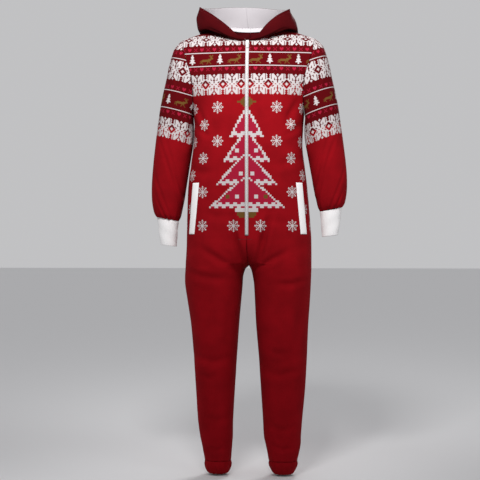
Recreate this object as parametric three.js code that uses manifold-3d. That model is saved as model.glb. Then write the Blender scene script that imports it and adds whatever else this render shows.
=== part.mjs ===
import * as THREE from 'three';
import { mergeVertices } from 'three/addons/utils/BufferGeometryUtils.js';
import Module from 'manifold-3d';

// Hooded one-piece pajama in fleece, filled out as if worn, with its hood down.
// Millimetres. +Z is up, the front faces -Y and the wearer's left is +X.
// The origin is midway between the neck ends of the two shoulder seams.

// Cloth, seams and the main drops
const FLEECE = 2.0; // wall of the body, sleeves, cuffs and hood
const LINING = 1.2; // wall of the hood lining
const SEAM = 0.3; // space between two pieces that are sewn together
const HALF = SEAM / 2;
const UNDERARM = -290;
const CROTCH = -790;
const ANKLE = -1440;
const NECK = { half: 85, front: 86, frontDrop: 57, back: 60, backDrop: 8 };
const SHOULDER = { x: 217, drop: 38 };
const ZIP = { half: 5.7, foot: -692, tape: 12, tapeWall: 1.0, sunk: 0.4 };
const RIGHT_SLEEVE_LONGER = 32; // the right arm hangs lower
const HOOD_LEAN = 15; // the hood's rim stands a little towards the right, and tips up there
const HOOD_TILT = 0.035;

// How finely each piece is built
const COLUMNS = 10; // across a body panel
const AROUND = 20; // around a sleeve or cuff
const ARMHOLE_ROWS = AROUND / 2;
const HOOD_ROWS = 14;
const HOOD_COLUMNS = 14;

const radians = (degrees) => (degrees * Math.PI) / 180;
const mix = (a, b, t) => a + (b - a) * t;
const limit = (v, lo, hi) => Math.min(hi, Math.max(lo, v));
const ease = (t) => limit(t, 0, 1) ** 2 * (3 - 2 * limit(t, 0, 1));
const steps = (from, to, count) =>
  Array.from({ length: count + 1 }, (_, i) => mix(from, to, i / count));
const vector = (x, y, z) => new THREE.Vector3(x, y, z);

// A table read by its first column. Every other column follows a smooth curve between rows.
function table(names, ...rows) {
  const way = Math.sign(rows[1][0] - rows[0][0]);
  return (key) => {
    let i = 0;
    while (i < rows.length - 2 && way * key > way * rows[i + 1][0]) i += 1;
    const [a, b] = [rows[i], rows[i + 1]];
    const [before, after] = [rows[i - 1] ?? a, rows[i + 2] ?? b];
    const span = b[0] - a[0];
    const t = limit((key - a[0]) / span, 0, 1);
    const value = (c) => {
      const leave = ((b[c] - before[c]) / (b[0] - before[0])) * span;
      const reach = ((after[c] - a[c]) / (after[0] - a[0])) * span;
      const [t2, t3] = [t * t, t * t * t];
      return (
        (2 * t3 - 3 * t2 + 1) * a[c] + (t3 - 2 * t2 + t) * leave +
        (3 * t2 - 2 * t3) * b[c] + (t3 - t2) * reach
      );
    };
    return Object.fromEntries(names.split(' ').map((name, c) => [name, value(c)]));
  };
}

// Half widths and depths of the body and legs by height. The two legs hang differently.
const BODY = table(
  'z leftOut rightOut leftIn rightIn front back',
  [-290, 184, 184, 0, 0, 124, 114],
  [-340, 180, 181, 0, 0, 127, 114],
  [-400, 178, 185, 0, 0, 129, 112],
  [-460, 185, 193, 0, 0, 128, 108],
  [-533, 194, 202, 0, 0, 126, 106],
  [-613, 201, 205, 0, 0, 126, 112],
  [-693, 207, 207, 0, 0, 126, 124],
  [-747, 208, 209, 0, 0, 124, 132],
  [-790, 208, 211, 0, 0, 120, 134],
  [-803, 208, 212, 8, 12, 118, 132],
  [-827, 207, 213, 13, 19, 114, 127],
  [-853, 206, 213, 17, 21, 110, 122],
  [-907, 203, 205, 20, 26, 103, 112],
  [-987, 197, 193, 24, 33, 95, 102],
  [-1093, 193, 184, 33, 40, 84, 92],
  [-1200, 187, 177, 40, 47, 72, 82],
  [-1307, 177, 170, 47, 53, 61, 68],
  [-1360, 173, 163, 50, 54, 54, 60],
  [-1387, 172, 157, 56, 56, 50, 56],
  [-1440, 161, 147.5, 66.5, 60, 43, 47],
);

// The ankle cuffs carry on from the leg ends, swell a little and turn in at the hem.
const ANKLE_CUFF = table(
  'z leftOut rightOut leftIn rightIn front back',
  [-1440, 161, 147.5, 66.5, 60, 43, 47],
  [-1452, 161.5, 148, 66, 59, 44.5, 48],
  [-1464, 157, 145.5, 71, 61, 42, 45],
  [-1475, 151.5, 141, 77, 65.5, 37, 39],
  [-1483, 146, 135, 83, 71, 31, 33],
);

// Depth of the centre front and centre back from the underarm to the neck
const CENTRE_FRONT = table(
  'z depth', [-290, 124], [-240, 123], [-190, 119], [-140, 111], [-100, 101], [-57, 86],
);
const CENTRE_BACK = table(
  'z depth', [-290, 114], [-230, 114], [-170, 111], [-120, 104], [-70, 90], [-40, 76], [-18, 60],
);

// How far out the armhole seam lies
const ARMHOLE_OUT = table(
  'z x', [-290, 186], [-247, 181.5], [-189, 184], [-146, 193], [-96, 209], [-53, 217], [-38, 217],
);

// Sleeve rings by number: the top and the underside of the ring, and half its depth. Ring 0 is
// the armhole, and the last one meets the cuff.
const SLEEVE = table(
  'ring topX topZ lowX lowZ half',
  [1, 233, -50, 186.5, -300, 76],
  [2, 247, -66, 186, -311, 76.5],
  [3, 257, -92, 185, -323, 76],
  [4, 268, -130, 184.5, -337, 75],
  [5, 277, -175, 184.5, -353, 73],
  [6, 288, -222, 186, -374, 71],
  [7, 298, -275, 190, -400, 69],
  [8, 306, -330, 196, -432, 67],
  [9, 314, -388, 203, -470, 65],
  [10, 321, -445, 210, -508, 62],
  [11, 325.5, -498, 216, -543, 59],
  [12, 325, -545, 223, -573, 55],
  [13, 319, -580, 229, -597, 48],
  [14, 311, -596, 234, -608, 39],
  [15, 308.5, -600, 235, -613, 33.5],
);
const SLEEVE_RINGS = 15;

const WRIST_CUFF = table(
  'ring topX topZ lowX lowZ half',
  [0, 308.5, -600.5, 235, -613.5, 33.5],
  [1, 305, -632, 238.5, -642, 30.5],
  [2, 300, -664, 241, -672, 27],
  [3, 296, -691, 242.5, -697, 24],
);

// The hood's outer face by its place around the neck, 0 at the zip and 180 at the back seam.
// From the neck seam it goes out over the shoulder or down the back (a, b), turns (c), and
// comes up its outer wall (d) to the rim (r).
const HOOD = table(
  'turn ax ay az bx by bz cx cy cz dx dy dz rx ry rz',
  [0, 7, -88, -55, 7, -89.5, -53.5, 7, -90.3, -52.2, 7, -90.6, -51, 7, -90.5, -50],
  [20, 37, -88, -51, 41, -92, -47, 42, -92, -43, 38, -91, -39, 32, -88, -37],
  [42, 70, -76, -38, 80, -84, -32, 84, -82, -19, 80, -77, -6, 69, -68, 3],
  [62, 96, -52, -23, 113, -60, -19, 122, -59, -4, 121, -52, 16, 107, -43, 36],
  [80, 108, -18, 4, 140, -26, -8, 159, -24, -11, 161, -14, 22, 147, -6, 64],
  [98, 107, 13, 9, 143, 24, -6, 164, 30, -13, 164, 34, 26, 149, 28, 69],
  [118, 100, 44, 4, 134, 68, -20, 155, 84, -42, 157, 84, 16, 136, 60, 73],
  [138, 72, 62, 8, 98, 98, -50, 122, 126, -92, 142, 132, -18, 104, 86, 78],
  [160, 34, 74, 10, 48, 112, -90, 62, 143, -164, 72, 156, -38, 52, 101, 85],
  [180, 0.15, 78, 11, 0.15, 117, -105, 0.15, 146, -200, 0.15, 162, -58, 0.15, 107, 87],
);

// The widest folds of the body: each is a groove between two points seen from that face.
const FOLDS = [
  { face: 'front', x0: 52, z0: -712, x1: 30, z1: -772, wide: 24, deep: 5 },
  { face: 'front', x0: 175, z0: -735, x1: 60, z1: -775, wide: 26, deep: 4 },
  { face: 'front', x0: 160, z0: -265, x1: 110, z1: -345, wide: 28, deep: 4 },
  { face: 'front', x0: 60, z0: -1115, x1: 165, z1: -1090, wide: 26, deep: 3 },
  { face: 'back', x0: 45, z0: -822, x1: 175, z1: -800, wide: 28, deep: 6 },
  { face: 'back', x0: 150, z0: -560, x1: 40, z1: -590, wide: 30, deep: 4 },
  { face: 'back', x0: 60, z0: -1105, x1: 160, z1: -1125, wide: 26, deep: 4 },
  { face: 'back', x0: 165, z0: -255, x1: 115, z1: -340, wide: 28, deep: 4 },
];

// Heights of the body rows below the underarm, closer where the crotch curves.
const LEVELS = [
  ...steps(UNDERARM, ZIP.foot, 10), ZIP.foot - 12,
  -728, -750, -767, -779, -786, CROTCH, -796, -806, -822, -845, -875,
  ...steps(-912, -1340, 9), -1375, -1402, -1423, ANKLE,
];

const SIDES = { left: 1, right: -1 };
const FACES = { front: -1, back: 1 };

// Points along a line of points at equal distances, `count` spaces in all
function evenly(points, count) {
  const along = [0];
  for (let i = 1; i < points.length; i += 1) {
    along.push(along[i - 1] + points[i].distanceTo(points[i - 1]));
  }
  const total = along.at(-1);
  return steps(0, total, count).map((at) => {
    let i = 1;
    while (i < points.length - 1 && along[i] < at) i += 1;
    const t = (at - along[i - 1]) / Math.max(1e-9, along[i] - along[i - 1]);
    return points[i - 1].clone().lerp(points[i], limit(t, 0, 1));
  });
}

// A closed wall from a grid of its outer points. `turn` is +1 or -1 for the way the grid faces,
// `ring` joins the last column to the first, and `keep(row, column)` names the axes that the
// thickness must not lean along, which holds the two sides of a seam apart.
function wall(grid, thick, { turn = 1, ring = false, keep = () => '' } = {}) {
  const rows = grid.length;
  const columns = grid[0].length;
  const inner = offset(grid, thick, { turn, ring, keep });
  const positions = [...grid.flat(), ...inner.flat()].flatMap((p) => [p.x, p.y, p.z]);
  const at = (i, j) => i * columns + (j % columns);
  const under = rows * columns;
  const faces = [];
  const quad = (a, b, c, d) => faces.push(a, b, c, a, c, d);
  const last = ring ? columns : columns - 1;
  for (let i = 0; i < rows - 1; i += 1) {
    for (let j = 0; j < last; j += 1) {
      const [a, b, c, d] = [at(i, j), at(i, j + 1), at(i + 1, j + 1), at(i + 1, j)];
      quad(a, b, c, d);
      quad(a + under, d + under, c + under, b + under);
    }
  }
  for (let j = 0; j < last; j += 1) {
    const [a, b] = [at(0, j), at(0, j + 1)];
    quad(a, a + under, b + under, b);
    const [c, d] = [at(rows - 1, j), at(rows - 1, j + 1)];
    quad(c, d, d + under, c + under);
  }
  if (!ring) {
    for (let i = 0; i < rows - 1; i += 1) {
      const [a, d] = [at(i, 0), at(i + 1, 0)];
      quad(a, d, d + under, a + under);
      const [b, c] = [at(i, columns - 1), at(i + 1, columns - 1)];
      quad(b, b + under, c + under, c);
    }
  }
  return geometry(positions, faces);
}

// A closed mesh with its faces turned outwards
function geometry(positions, faces) {
  const at = (k) => vector().fromArray(positions, 3 * k);
  let volume = 0;
  for (let i = 0; i < faces.length; i += 3) {
    volume += at(faces[i]).dot(at(faces[i + 1]).cross(at(faces[i + 2])));
  }
  if (volume < 0) faces.reverse();
  const shape = new THREE.BufferGeometry();
  shape.setAttribute('position', new THREE.Float32BufferAttribute(positions, 3));
  shape.setIndex(faces);
  shape.computeVertexNormals();
  return shape;
}

// The grid moved inwards along its own normals
function offset(grid, distance, options) {
  const out = normals(grid, options);
  return grid.map((row, i) => row.map((p, j) => p.clone().addScaledVector(out[i][j], -distance)));
}

function normals(grid, { turn = 1, ring = false, keep = () => '' }) {
  const rows = grid.length;
  const columns = grid[0].length;
  return grid.map((row, i) => row.map((_, j) => {
    const [j0, j1] = ring
      ? [(j + columns - 1) % columns, (j + 1) % columns]
      : [Math.max(0, j - 1), Math.min(columns - 1, j + 1)];
    const across = row[j1].clone().sub(row[j0]);
    const down = grid[Math.min(rows - 1, i + 1)][j].clone().sub(grid[Math.max(0, i - 1)][j]);
    const out = across.cross(down).multiplyScalar(turn).normalize();
    for (const axis of keep(i, j)) out[axis] = 0;
    return out.normalize();
  }));
}

// Body panels

// The inner edge of a panel: beside the zip, on the centre seam, then down the inseam
function innerEdge(side, face, z) {
  if (z < CROTCH) return Math.max(HALF, BODY(z)[`${side}In`]);
  if (face === 'back') return HALF;
  return mix(ZIP.half, HALF, limit((ZIP.foot - z) / 12, 0, 1));
}

// A level line of a panel from its inner edge to the side seam
function levelLine(side, face, z, at = BODY(z)) {
  const inner = z < ANKLE ? at[`${side}In`] : innerEdge(side, face, z);
  const outer = at[`${side}Out`];
  const depth = at[face];
  const leg = ease((-620 - z) / 170);
  const seat = face === 'front' ? -688 : -640;
  const fork = limit((seat - z) / (seat - CROTCH), 0, 1);
  const innerDepth = depth * (1 - fork ** 2.4) ** (1 / 2.4);
  const full = inner + (outer - inner) * 0.48 * leg;
  const power = mix(0.8, 0.92, leg);
  const line = [];
  for (const a of steps(180, 0, 72)) {
    const [c, s] = [Math.abs(Math.cos(radians(a))), Math.abs(Math.sin(radians(a)))];
    const [from, shallow] = a > 90 ? [inner, innerDepth] : [outer, 0];
    const x = full + (from - full) * c ** power;
    const y = shallow + (depth - shallow) * s ** power;
    line.push(vector(x * SIDES[side], mix(HALF, depth, y / depth) * FACES[face], z));
  }
  return evenly(line, COLUMNS);
}

function armhole(angle) {
  const mid = (UNDERARM - SHOULDER.drop) / 2;
  const z = mid + (UNDERARM - mid) * Math.cos(radians(angle));
  return vector(ARMHOLE_OUT(z).x, Math.max(HALF, 75 * Math.sin(radians(angle))), z);
}

// The neck seam, 0 at the centre front, 90 at the shoulder and 180 at the centre back
function neckSeam(turn) {
  const front = turn <= 90;
  const away = Math.abs(Math.cos(radians(turn)));
  const start = front ? ZIP.half : HALF;
  const x = mix(start, NECK.half, Math.sin(radians(turn)));
  const depth = Math.max(HALF, (front ? NECK.front : NECK.back) * away);
  return vector(x, front ? -depth : depth, -(front ? NECK.frontDrop : NECK.backDrop) * away);
}

// A line above the underarm, from the centre or the neck seam to the armhole
function yokeLine(side, face, row) {
  const outer = armhole((180 * row) / ARMHOLE_ROWS);
  const neckRow = 6;
  let inner;
  if (row <= neckRow) {
    const drop = face === 'front' ? NECK.frontDrop : NECK.backDrop;
    const z = mix(UNDERARM, -drop, row / neckRow);
    const depth = (face === 'front' ? CENTRE_FRONT : CENTRE_BACK)(z).depth;
    inner = vector(innerEdge(side, face, z), depth, z);
  } else {
    const turn = (90 * (row - neckRow)) / (ARMHOLE_ROWS - neckRow);
    inner = neckSeam(face === 'front' ? turn : 180 - turn);
    inner.y = Math.abs(inner.y);
  }
  const power = 0.8;
  const share = row === ARMHOLE_ROWS ? 0.7 : limit(outer.y / inner.y, 0, 0.9);
  const cut = Math.asin(share ** (1 / power));
  const line = steps(Math.PI / 2, row ? cut : 0, 40).map((a) => {
    const out = (Math.max(0, Math.cos(a)) / Math.cos(row ? cut : 0)) ** power;
    const floor = row ? Math.sin(cut) ** power : 0;
    const up = (Math.sin(a) ** power - floor) / (1 - floor);
    const sag = row === ARMHOLE_ROWS ? out ** 1.35 : out;
    return vector(
      mix(inner.x, outer.x, out) * SIDES[side],
      mix(outer.y, inner.y, up) * FACES[face],
      mix(inner.z, outer.z, sag),
    );
  });
  return evenly(line, COLUMNS);
}

function foldDepth(face, p) {
  let deep = 0;
  for (const fold of FOLDS.filter((f) => f.face === face)) {
    const [dx, dz] = [fold.x1 - fold.x0, fold.z1 - fold.z0];
    const [px, pz] = [Math.abs(p.x) - fold.x0, p.z - fold.z0];
    const t = limit((px * dx + pz * dz) / (dx * dx + dz * dz), 0, 1);
    const gap = Math.hypot(px - t * dx, pz - t * dz);
    deep += fold.deep * Math.exp(-((gap / fold.wide) ** 2));
  }
  return deep;
}

// One front or back panel in a single length from the shoulder to the ankle
function panel(side, face) {
  const yoke = steps(ARMHOLE_ROWS, 1, ARMHOLE_ROWS - 1).map((row) => yokeLine(side, face, row));
  const grid = [...yoke, ...LEVELS.map((z) => levelLine(side, face, z))];
  const firstLevel = yoke.length;
  const keep = (i, j) => {
    const seam = j === COLUMNS && i >= firstLevel ? 'y' : '';
    const inseam = j === 0 && grid[i][0].z <= CROTCH ? 'y' : '';
    const centre = j === 0 && i >= ARMHOLE_ROWS - 6 && !inseam ? 'x' : '';
    const shoulder = i === 0 ? 'y' : '';
    return seam + inseam + centre + shoulder + (i === grid.length - 1 ? 'z' : '');
  };
  const options = { turn: SIDES[side] * FACES[face], keep };
  const out = normals(grid, options);
  const folded = grid.map((row, i) => row.map((p, j) => {
    const deep = j === 0 || j === COLUMNS || i === 0 ? 0 : foldDepth(face, p);
    return p.clone().addScaledVector(out[i][j], -deep);
  }));
  return { grid: folded, inner: offset(folded, FLEECE, options), options };
}

// Sleeves and cuffs

function ringPoints(side, at, longer) {
  const points = [];
  for (let k = 0; k < AROUND; k += 1) {
    const a = radians((360 * k) / AROUND);
    const [c, s] = [Math.cos(a), Math.sin(a)];
    const up = (1 - Math.sign(c) * Math.abs(c) ** 0.94) / 2;
    const x = mix(at.lowX, at.topX, up);
    const z = mix(at.lowZ, at.topZ, up);
    const y = -Math.sign(s) * Math.abs(s) ** 0.94 * at.half;
    points.push(vector(x * SIDES[side], y, z - longer * ease((-z - 300) / 300)));
  }
  return points;
}

function sleeve(side) {
  const longer = side === 'right' ? RIGHT_SLEEVE_LONGER : 0;
  const start = [];
  for (let k = 0; k < AROUND; k += 1) {
    const angle = (360 * k) / AROUND;
    const p = armhole(angle <= 180 ? angle : 360 - angle);
    const y = angle === 0 || angle === 180 ? 0 : p.y * (angle < 180 ? -1 : 1);
    start.push(vector((p.x + SEAM) * SIDES[side], y, p.z));
  }
  const grid = [start];
  for (let ring = 1; ring <= SLEEVE_RINGS; ring += 1) {
    grid.push(ringPoints(side, SLEEVE(ring), longer));
  }
  const keep = (i) => (i === 0 ? 'x' : '');
  return wall(grid, FLEECE, { turn: -SIDES[side], ring: true, keep });
}

function wristCuff(side) {
  const longer = side === 'right' ? RIGHT_SLEEVE_LONGER : 0;
  const grid = [0, 1, 2, 3].map((ring) => ringPoints(side, WRIST_CUFF(ring), longer));
  return wall(grid, FLEECE, { turn: -SIDES[side], ring: true, keep: () => 'z' });
}

function ankleCuff(side) {
  const grid = [ANKLE - SEAM, -1452, -1464, -1475, -1483].map((z) => {
    const at = ANKLE_CUFF(z);
    const front = levelLine(side, 'front', z, at);
    const back = levelLine(side, 'back', z, at).reverse();
    return [...front.slice(0, COLUMNS), ...back.slice(0, COLUMNS)];
  });
  const keep = (i) => (i === 0 ? 'z' : '');
  return wall(grid, FLEECE, { turn: -SIDES[side], ring: true, keep });
}

// Hood

function spline(points, count) {
  return evenly(new THREE.CatmullRomCurve3(points, false, 'centripetal').getPoints(90), count);
}

function hoodGrid(side) {
  return steps(0, 180, HOOD_ROWS).map((turn) => {
    const at = HOOD(turn);
    const neck = neckSeam(turn);
    if (turn === 0) neck.x += 0.8;
    neck.z += SEAM + 0.1;
    const points = [neck, ...[...'abcdr'].map((k) => vector(at[`${k}x`], at[`${k}y`], at[`${k}z`]))];
    return spline(points, HOOD_COLUMNS).map((p, k) => {
      const free = ease(k / 5) * ease((p.z + 45) / 110); // the neck seam itself stays level
      const x = Math.max(HALF, p.x) * SIDES[side] - free * HOOD_LEAN;
      return vector(x, p.y, p.z - free * HOOD_TILT * x);
    });
  });
}

function hood(side) {
  const grid = hoodGrid(side);
  const keep = (i) => (i === HOOD_ROWS ? 'x' : '');
  const options = { turn: -SIDES[side], keep };
  const liningFace = offset(grid, FLEECE + 0.5, options);
  return { shell: wall(grid, FLEECE, options), lining: wall(liningFace, LINING, options) };
}

// Zip

// Half of the zip: a chain that fills the slot between the panels, and its tape behind them
function zipTape(side, front) {
  const { grid, inner } = front;
  const first = ARMHOLE_ROWS - 6;
  const last = grid.findIndex((row) => row[0].z <= ZIP.foot + 0.01);
  const corners = [];
  for (let i = first; i <= last; i += 1) {
    const edge = grid[i][0];
    const out = edge.clone().sub(inner[i][0]).normalize();
    const along = inner[i][1].clone().sub(inner[i][0]).normalize();
    const sunk = (p, deep) => p.clone().addScaledVector(out, -deep);
    const middle = vector(HALF * SIDES[side], edge.y, edge.z);
    const slot = vector((ZIP.half - 0.35) * SIDES[side], edge.y, edge.z);
    const tape = inner[i][0].clone().addScaledVector(along, ZIP.tape);
    const behind = FLEECE + 0.45;
    corners.push([
      sunk(middle, ZIP.sunk), sunk(slot, ZIP.sunk), sunk(slot, behind), sunk(tape, 0.45),
      sunk(tape, 0.45 + ZIP.tapeWall), sunk(slot, behind + ZIP.tapeWall),
      sunk(middle, behind + ZIP.tapeWall),
    ]);
  }
  corners[0].forEach((p) => { p.z -= 0.6; });
  const count = corners[0].length;
  const positions = corners.flat().flatMap((p) => [p.x, p.y, p.z]);
  const faces = [];
  const add = (a, b, c) => faces.push(a, b, c);
  for (let i = 0; i < corners.length - 1; i += 1) {
    for (let k = 0; k < count; k += 1) {
      const [a, b] = [i * count + k, i * count + ((k + 1) % count)];
      add(a, a + count, b + count);
      add(a, b + count, b);
    }
  }
  const end = (corners.length - 1) * count;
  for (const [a, b, c] of [[0, 1, 2], [0, 2, 5], [0, 5, 6], [2, 3, 4], [2, 4, 5]]) {
    add(a, b, c);
    add(end + a, end + c, end + b);
  }
  return geometry(positions, faces);
}

// Pocket welts, laid on the front panels

const WELT = { topZ: -520, topX: 169, footZ: -688, footX: 184, wide: 30, lift: 0.85, wall: 1.6 };

function pointAlong(line, at) {
  let left = at;
  for (let i = 1; i < line.length; i += 1) {
    const length = line[i].distanceTo(line[i - 1]);
    if (left <= length || i === line.length - 1) {
      return line[i - 1].clone().lerp(line[i], left / length);
    }
    left -= length;
  }
  return line.at(-1).clone();
}

// The panel's own outer face along a level line
function lineAt(grid, z) {
  const i = grid.findIndex((row, k) => k >= ARMHOLE_ROWS && row[0].z < z);
  const t = (grid[i - 1][0].z - z) / (grid[i - 1][0].z - grid[i][0].z);
  return grid[i - 1].map((p, j) => p.clone().lerp(grid[i][j], t));
}

function pocketWelt(side, front) {
  const grid = steps(0, 1, 12).map((t) => {
    const line = lineAt(front.grid, mix(WELT.topZ, WELT.footZ, t));
    const target = mix(WELT.topX, WELT.footX, t);
    let centre = 0;
    while (Math.abs(pointAlong(line, centre).x) < target) centre += 0.5;
    return steps(-WELT.wide / 2, WELT.wide / 2, 4).map((across) => {
      const p = pointAlong(line, centre + across);
      const along = pointAlong(line, centre + across + 14);
      along.sub(pointAlong(line, centre + across - 14)).normalize();
      const out = vector(0, 0, -1).cross(along).multiplyScalar(SIDES[side]).normalize();
      return p.addScaledVector(out, WELT.lift + WELT.wall);
    });
  });
  return wall(grid, WELT.wall, { turn: -SIDES[side] });
}

// Zip slider and its pull tab. They are drawn upright at the top of the zip, with the face of
// the panels at y = 0, and then leaned with the cloth there.

const SLIDER = { wide: 9, above: 2, below: 11, out: 1.5, chain: 0, tape: 3.9, back: 5.1 };
const BAIL = { z: -4.5, outer: 3.6, inner: 2.3, wide: 1.4, root: 0.4 };
const PULL = { wide: 6.6, long: 21, thick: 1.2, axis: 1.15, bar: 0.6, eye: 5.2, eyeHalf: 1.5 };

const wasm = await Module();
wasm.setup();

function manifold(shape) {
  const plain = shape.index ? shape.toNonIndexed() : shape.clone();
  plain.deleteAttribute('normal');
  plain.deleteAttribute('uv');
  const merged = mergeVertices(plain, 1e-4);
  return new wasm.Manifold(new wasm.Mesh({
    numProp: 3,
    vertProperties: new Float32Array(merged.attributes.position.array),
    triVerts: new Uint32Array(merged.index.array),
  }));
}

function joined(a, b) {
  const mesh = manifold(a).add(manifold(b)).getMesh();
  return geometry([...mesh.vertProperties], [...mesh.triVerts]);
}

function extruded(outline, thick, holes = []) {
  const points = (list) => list.map(([x, y]) => new THREE.Vector2(x, y));
  const shape = new THREE.Shape(points(outline));
  shape.holes = holes.map((hole) => new THREE.Path(points(hole)));
  const solid = new THREE.ExtrudeGeometry(shape, { depth: thick, bevelEnabled: false });
  return solid.translate(0, 0, -thick / 2);
}

// An outline of (distance out, height) given its thickness across the zip
function sideOn(outline, thick) {
  const turned = new THREE.Matrix4().makeBasis(vector(0, 1, 0), vector(0, 0, 1), vector(1, 0, 0));
  return extruded(outline.map(([out, z]) => [-out, z]), thick).applyMatrix4(turned);
}

function arc(cx, cy, r, from, to, count) {
  return steps(from, to, count).map((a) => [
    cx + r * Math.cos(radians(a)), cy + r * Math.sin(radians(a)),
  ]);
}

function slider() {
  const s = SLIDER;
  const body = sideOn([
    [s.out, s.above], [-s.back, s.above], [-s.back, -s.below], [-s.tape, -s.below],
    [-s.tape, -0.2], [-s.chain, -0.2], [-s.chain, -s.below], [s.out, -s.below],
  ], s.wide);
  const bail = sideOn([
    [s.out - BAIL.root, BAIL.z - BAIL.outer], ...arc(s.out, BAIL.z, BAIL.outer, -90, 90, 12),
    [s.out - BAIL.root, BAIL.z + BAIL.outer], [s.out - BAIL.root, BAIL.z + BAIL.inner],
    ...arc(s.out, BAIL.z, BAIL.inner, 90, -90, 10), [s.out - BAIL.root, BAIL.z - BAIL.inner],
  ], BAIL.wide);
  return joined(body, bail);
}

// The tab hangs in the bail by the bar above its eye, and turns about that bar.
function pullTab() {
  const half = PULL.wide / 2;
  const outline = [
    ...arc(half - 1, PULL.bar - 1, 1, 0, 90, 4), ...arc(1 - half, PULL.bar - 1, 1, 90, 180, 4),
    ...arc(2 - half, 2 - PULL.long, 2, 180, 270, 5), ...arc(half - 2, 2 - PULL.long, 2, 270, 360, 5),
  ];
  const eye = [
    [-PULL.eyeHalf, -PULL.bar], [-PULL.eyeHalf, -PULL.eye],
    [PULL.eyeHalf, -PULL.eye], [PULL.eyeHalf, -PULL.bar],
  ];
  const tab = extruded(outline, PULL.thick, [eye]).rotateX(Math.PI / 2);
  return tab.translate(0, -SLIDER.out - PULL.axis, BAIL.z);
}

// Assembly

const COLOURS = {
  fleece: 0x8f0f18, rib: 0xe8e6e6, lining: 0xc9c6ca, tape: 0xf0eeee, coil: 0xe2e0e0,
};
const materials = Object.fromEntries(Object.entries(COLOURS).map(([name, color]) => [
  name, new THREE.MeshStandardMaterial({ name, color, roughness: 0.9 }),
]));

const garment = new THREE.Group();
garment.name = 'onesie_pajama';

function add(name, shape, material) {
  const mesh = new THREE.Mesh(shape, materials[material]);
  mesh.name = name;
  garment.add(mesh);
}

const fronts = {};
for (const side of Object.keys(SIDES)) {
  for (const face of Object.keys(FACES)) {
    const made = panel(side, face);
    if (face === 'front') fronts[side] = made;
    add(`${face}_${side}`, wall(made.grid, FLEECE, made.options), 'fleece');
  }
  add(`sleeve_${side}`, sleeve(side), 'fleece');
  add(`wrist_cuff_${side}`, wristCuff(side), 'rib');
  add(`ankle_cuff_${side}`, ankleCuff(side), 'fleece');
  const { shell, lining } = hood(side);
  add(`hood_${side}`, shell, 'fleece');
  add(`hood_lining_${side}`, lining, 'lining');
  add(`zip_tape_${side}`, zipTape(side, fronts[side]), 'tape');
  add(`pocket_welt_${side}`, pocketWelt(side, fronts[side]), 'rib');
}

const zipTop = fronts.left.grid[ARMHOLE_ROWS - 6][0];
const zipNext = fronts.left.grid[ARMHOLE_ROWS - 5][0];
const lean = Math.atan2(zipTop.y - zipNext.y, zipTop.z - zipNext.z);
for (const [name, shape] of [['zip_slider', slider()], ['zip_pull', pullTab()]]) {
  add(name, shape.rotateX(-lean).translate(0, zipTop.y, zipTop.z), 'coil');
}

export default garment;
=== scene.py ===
"""Looks of a hooded one-piece pajama in printed fleece: the cloth, its print, sewing and zip."""

import math

import bpy
import numpy as np
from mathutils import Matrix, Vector


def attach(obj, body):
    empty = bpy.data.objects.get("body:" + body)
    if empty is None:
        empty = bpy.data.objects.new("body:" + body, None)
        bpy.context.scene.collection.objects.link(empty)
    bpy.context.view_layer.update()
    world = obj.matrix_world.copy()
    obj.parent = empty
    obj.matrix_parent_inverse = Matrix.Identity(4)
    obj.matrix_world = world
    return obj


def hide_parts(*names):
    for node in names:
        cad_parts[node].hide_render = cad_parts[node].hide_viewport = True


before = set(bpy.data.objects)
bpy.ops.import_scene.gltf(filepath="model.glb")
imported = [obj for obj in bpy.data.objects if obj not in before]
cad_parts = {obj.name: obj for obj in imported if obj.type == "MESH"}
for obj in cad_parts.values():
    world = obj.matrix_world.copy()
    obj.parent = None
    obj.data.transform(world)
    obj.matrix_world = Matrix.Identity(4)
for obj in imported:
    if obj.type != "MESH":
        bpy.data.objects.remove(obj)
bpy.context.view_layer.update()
MM = 0.001

# Shape: millimetres, +Z up, the front faces -Y and the wearer's left is +X

FLEECE, LINING, HALF_SEAM = 2.0, 1.2, 0.15
UNDERARM, CROTCH, ANKLE = -290.0, -790.0, -1440.0
SHOULDER_DROP, OVER_SHOULDER, ARMHOLE_DEEP = 38.0, -60.0, 75.0
GATHERED = 45.0  # of each leg, above its cuff
NECK_HALF = 85.0
NECK_DEPTH = {"front": 86.0, "back": 60.0}
NECK_DROP = {"front": 57.0, "back": 8.0}
ZIP_HALF, ZIP_FOOT = 5.7, -692.0
LEAN_OVER = 38.8333  # the height over which the zip's slope at the neck is taken
RIGHT_SLEEVE_LONGER = 32.0
HOOD_LEAN, HOOD_TILT = 15.0, 0.035
SIDES = {"left": 1, "right": -1}
FACES = {"front": -1, "back": 1}


def clamp(t):
    return np.clip(t, 0, 1)


def ease(t):
    t = clamp(t)
    return t * t * (3 - 2 * t)


def mix(a, b, t):
    return a + (b - a) * t


def hermite(a, b, leave, reach, t):
    """A smooth way from a to b that leaves and reaches them at given slopes."""
    return (
        (2 * t**3 - 3 * t**2 + 1) * a + (t**3 - 2 * t**2 + t) * leave
        + (3 * t**2 - 2 * t**3) * b + (t**3 - t**2) * reach
    )


class Table:
    """Read by its first column; every other column follows a smooth curve between the rows."""

    def __init__(self, names, *rows):
        self.names = names.split()[1:]
        rows = np.array(sorted(rows), float)
        self.key, self.rows = rows[:, 0], rows[:, 1:]
        self.slopes = np.gradient(self.rows, axis=0) / np.gradient(self.key)[:, None]

    def __call__(self, key):
        key = min(max(key, self.key[0]), self.key[-1])
        i = min(int(np.searchsorted(self.key, key, side="right")) - 1, len(self.key) - 2)
        span = self.key[i + 1] - self.key[i]
        t = (key - self.key[i]) / span
        leave, reach = self.slopes[i] * span, self.slopes[i + 1] * span
        return dict(zip(self.names, hermite(self.rows[i], self.rows[i + 1], leave, reach, t)))


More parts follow.
